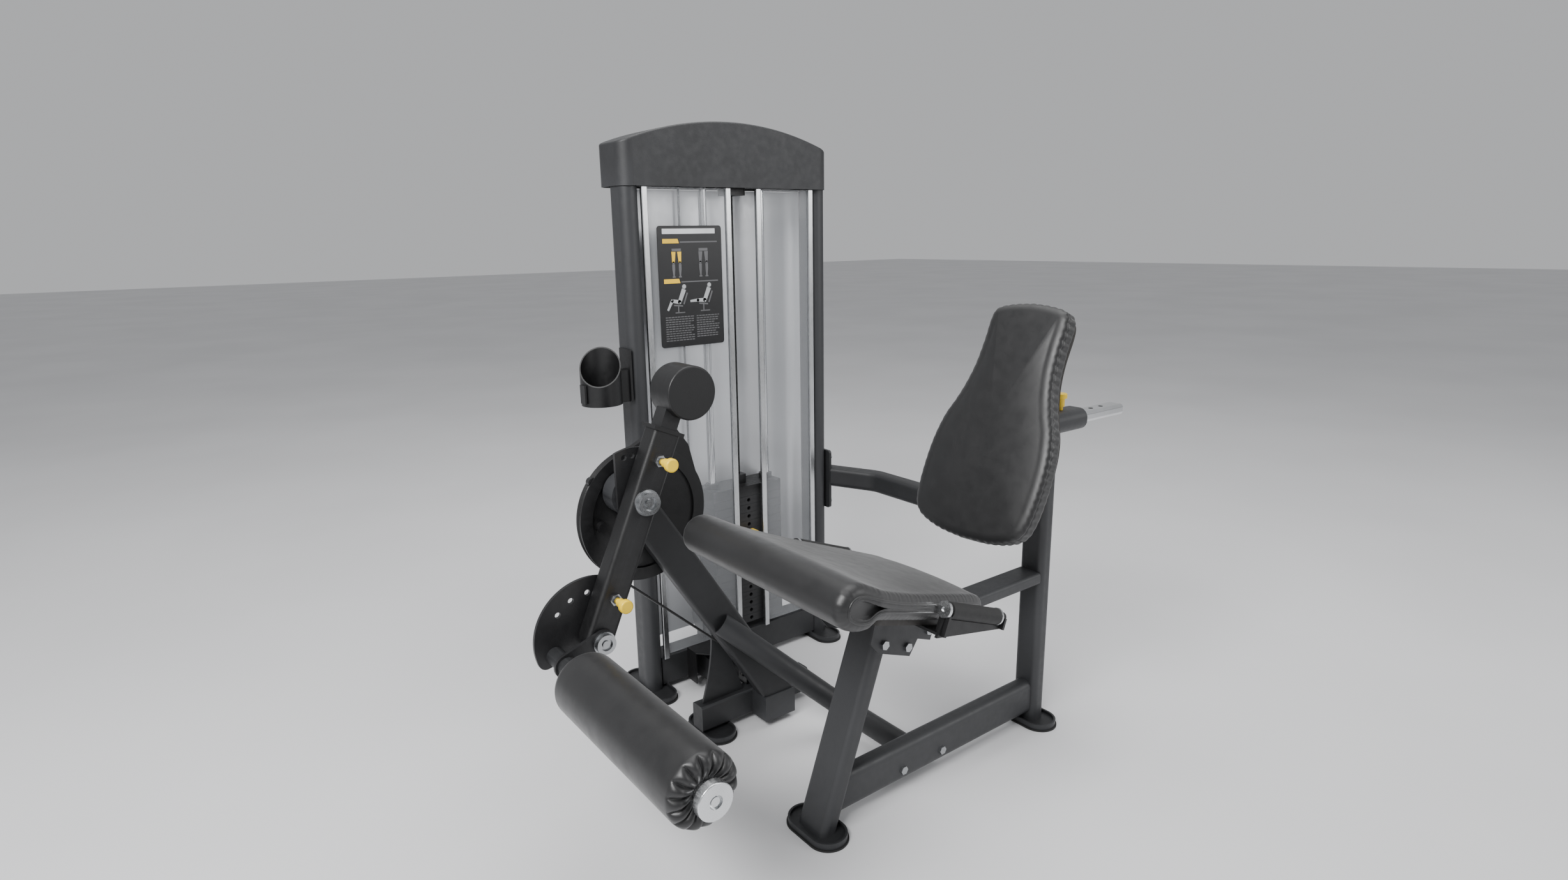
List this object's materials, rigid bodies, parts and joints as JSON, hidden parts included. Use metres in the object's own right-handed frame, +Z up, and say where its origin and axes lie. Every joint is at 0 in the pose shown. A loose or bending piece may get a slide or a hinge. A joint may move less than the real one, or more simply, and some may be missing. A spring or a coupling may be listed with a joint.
{
  "type": "leg extension machine",
  "caption": "Selectorised leg extension machine with tilted seat, sliding backrest, cam-driven lever with padded roller, and a shielded weight stack tower",
  "frame": {"origin": "on the floor under the middle of the machine's bounding box", "axes": "+Z up, +X from the roller towards the backrest so that the sitter faces -X, +Y from the seat towards the weight tower"},
  "size_m": [1.457, 1.0989, 1.4999],
  "materials": {
    "frame_paint": "fine textured satin powder coat",
    "black_paint": "fine textured satin powder coat",
    "vinyl": "soft grained upholstery vinyl, satin",
    "foam_vinyl": "gathered upholstery vinyl, satin",
    "silver": "satin brushed",
    "chrome": "polished",
    "zinc": "zinc plated",
    "strip_alloy": "satin anodised",
    "acrylic": "tinted acrylic, gloss",
    "shroud": "silver satin",
    "cowl_paint": "fine textured satin",
    "placard": "printed film, satin",
    "weight": "black oxide paint, matt",
    "yellow": "gloss",
    "black_plastic": "moulded",
    "rubber": "matt",
    "cable_jacket": "smooth jacket",
    "board": "black stained plywood"
  },
  "bodies": {
    "frame": {"backrest_link": "frame_paint", "base_rail": "frame_paint", "base_tubes": "frame_paint", "bottle_holder": "black_plastic", "cable_cover": "black_plastic", "cross_tube": "frame_paint", "drive_cable": "cable_jacket", "foot_plates": "frame_paint", "frame_fasteners": "zinc", "front_leg": "frame_paint", "front_shields": "acrylic", "guide_rods": "chrome", "handle_bars": "black_paint", "handle_caps": "silver", "handle_grips": "rubber", "instruction_placard": "placard", "lower_weight_plates": "weight", "pivot_bearings": "zinc", "pivot_support": "frame_paint", "pulley_brackets": "black_paint", "rear_post": "frame_paint", "rear_shroud": "shroud", "rubber_feet": "rubber", "seat_board": "board", "seat_bracket": "frame_paint", "seat_pad": "vinyl", "seat_support_tube": "frame_paint", "shield_edge_strips": "strip_alloy", "slide_bushings": "black_plastic", "slide_sleeve": "frame_paint", "stack_bumpers": "rubber", "tower_cowl": "cowl_paint", "tower_top_plate": "black_paint", "tower_uprights": "frame_paint"},
    "cam": {"cable_cam": "black_paint", "pivot_shaft": "zinc", "start_position_plate": "black_paint", "cam_cable_wrap": "cable_jacket"},
    "lever": {"lever_arm": "black_paint", "counterweight": "black_paint", "pin_collars": "zinc"},
    "roller_arm": {"sector_plate": "black_paint", "roller_link": "black_paint", "joint_bolt": "zinc", "roller_axle": "frame_paint"},
    "roller": {"roller_foam": "foam_vinyl", "roller_core": "silver"},
    "start_pin": {"start_pin": "yellow"},
    "roller_pin": {"roller_pin": "yellow"},
    "backrest": {"back_pad": "vinyl", "back_board": "board", "slide_bar": "chrome"},
    "backrest_pin": {"backrest_pin": "yellow"},
    "stack_lift": {"top_weight_plate": "weight", "upper_weight_plates": "weight", "selector_rod": "black_paint"},
    "selector_pin": {"selector_pin": "yellow"},
    "corner_pulley": {"corner_pulley": "black_plastic"},
    "base_pulley": {"base_pulley": "black_plastic"},
    "top_pulley": {"top_pulley": "black_plastic"}
  },
  "joints": [
    {"name": "cam_turn", "type": "hinge", "parent": "frame", "child": "cam", "pos_m": [-0.4625, 0.0425, 0.684], "axis": [0, 1, 0], "range_deg": [0, 75], "deforming": ["drive_cable", "cam_cable_wrap"]},
    {"name": "start_adjust", "type": "hinge", "parent": "cam", "child": "lever", "pos_m": [-0.4625, 0.0425, 0.684], "axis": [0, 1, 0], "range_deg": [-36, 0]},
    {"name": "roller_adjust", "type": "hinge", "parent": "lever", "child": "roller_arm", "pos_m": [-0.58213, 0.0425, 0.40888], "axis": [0, 1, 0], "range_deg": [0, 73.5]},
    {"name": "roller_spin", "type": "hinge", "parent": "roller_arm", "child": "roller", "pos_m": [-0.6635, -0.2975, 0.381], "axis": [0, 1, 0], "continuous": true},
    {"name": "start_pin_slide", "type": "slide", "parent": "lever", "child": "start_pin", "axis": [0, 1, 0], "range_m": [0, 0.008]},
    {"name": "roller_pin_slide", "type": "slide", "parent": "lever", "child": "roller_pin", "axis": [0, 1, 0], "range_m": [0, 0.008]},
    {"name": "backrest_slide", "type": "slide", "parent": "frame", "child": "backrest", "axis": [1, 0, 0], "range_m": [-0.126, 0.042]},
    {"name": "backrest_pin_slide", "type": "slide", "parent": "frame", "child": "backrest_pin", "axis": [0, 0, -1], "range_m": [0, 0.008]},
    {"name": "stack_slide", "type": "slide", "parent": "frame", "child": "stack_lift", "axis": [0, 0, 1], "range_m": [0, 0.27]},
    {"name": "selector_pin_slide", "type": "slide", "parent": "stack_lift", "child": "selector_pin", "axis": [0, -1, 0], "range_m": [0, 0.075]},
    {"name": "corner_pulley_spin", "type": "hinge", "parent": "frame", "child": "corner_pulley", "pos_m": [-0.09862, 0.1865, 0.13346], "axis": [-0.677, 0, -0.736], "range_deg": [0, 340]},
    {"name": "base_pulley_spin", "type": "hinge", "parent": "frame", "child": "base_pulley", "pos_m": [-0.0655, 0.4625, 0.148], "axis": [-1, 0, 0], "range_deg": [0, 340]},
    {"name": "top_pulley_spin", "type": "hinge", "parent": "frame", "child": "top_pulley", "pos_m": [0.003, 0.485, 1.416], "axis": [-0.3121, -0.9501, 0], "range_deg": [0, 215]}
  ],
  "couplings": [
    {"joint": "stack_slide", "follows": "cam_turn", "m_per_rad": 0.2},
    {"joint": "corner_pulley_spin", "follows": "cam_turn", "ratio": 4.4444},
    {"joint": "base_pulley_spin", "follows": "cam_turn", "ratio": 4.4444},
    {"joint": "top_pulley_spin", "follows": "cam_turn", "ratio": 2.7739}
  ]
}
